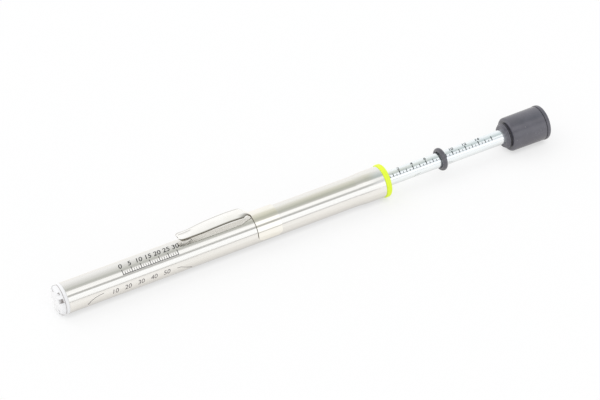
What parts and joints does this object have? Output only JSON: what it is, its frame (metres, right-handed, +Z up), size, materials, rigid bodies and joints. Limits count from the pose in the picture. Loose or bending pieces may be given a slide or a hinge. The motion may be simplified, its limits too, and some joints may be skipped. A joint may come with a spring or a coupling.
{
  "type": "belt tension tester",
  "caption": "Pencil-type belt tension tester: sprung plunger rod with a force scale and marker ring, in a metal barrel with a pocket clip.",
  "frame": {"origin": "centre of the flat nose face that is set on the belt, on the tool's axis", "axes": "+X along the tool from the nose to the rubber tip, +Z up with the tool lying down and the pocket clip on top, leaning 12 degrees to +Y"},
  "size_m": [0.2246, 0.0152, 0.0176],
  "materials": {
    "clear_plastic": "milky white moulded plastic",
    "plated_tube": "satin nickel plate",
    "clip_steel": "bright nickel plated spring steel",
    "bright_plastic": "fluorescent yellow-green moulded plastic",
    "spring_steel": "drawn spring wire and strip",
    "zinc_plate": "bright bluish zinc plate",
    "acetal": "natural acetal, turned",
    "black_rubber": "smooth black rubber",
    "grey_rubber": "matt charcoal moulded rubber"
  },
  "bodies": {
    "barrel": {"barrel_tube": "plated_tube", "belt_end_plug": "clear_plastic", "pocket_clip": "clip_steel", "mouth_bushing": "bright_plastic", "compression_spring": "spring_steel"},
    "spring_follower": {"spring_washer": "zinc_plate"},
    "plunger": {"plunger_rod": "zinc_plate", "guide_piston": "acetal", "retaining_clip": "spring_steel", "return_bumper": "black_rubber", "rubber_tip": "grey_rubber"},
    "force_marker": {"force_marker_ring": "black_rubber"}
  },
  "joints": [
    {"name": "plunger_slide", "type": "slide", "parent": "barrel", "child": "spring_follower", "axis": [1, 0, 0], "range_m": [-0.0545, 0], "stiffness_N_per_m": 1401, "deforming": ["compression_spring"]},
    {"name": "plunger_spin", "type": "hinge", "parent": "spring_follower", "child": "plunger", "pos_m": [0.12, 0, 0], "axis": [1, 0, 0], "continuous": true},
    {"name": "marker_slide", "type": "slide", "parent": "plunger", "child": "force_marker", "axis": [1, 0, 0], "range_m": [0, 0.02875]}
  ],
  "couplings": [
    {"joint": "marker_slide", "follows": "plunger_slide", "ratio": -0.5275}
  ]
}
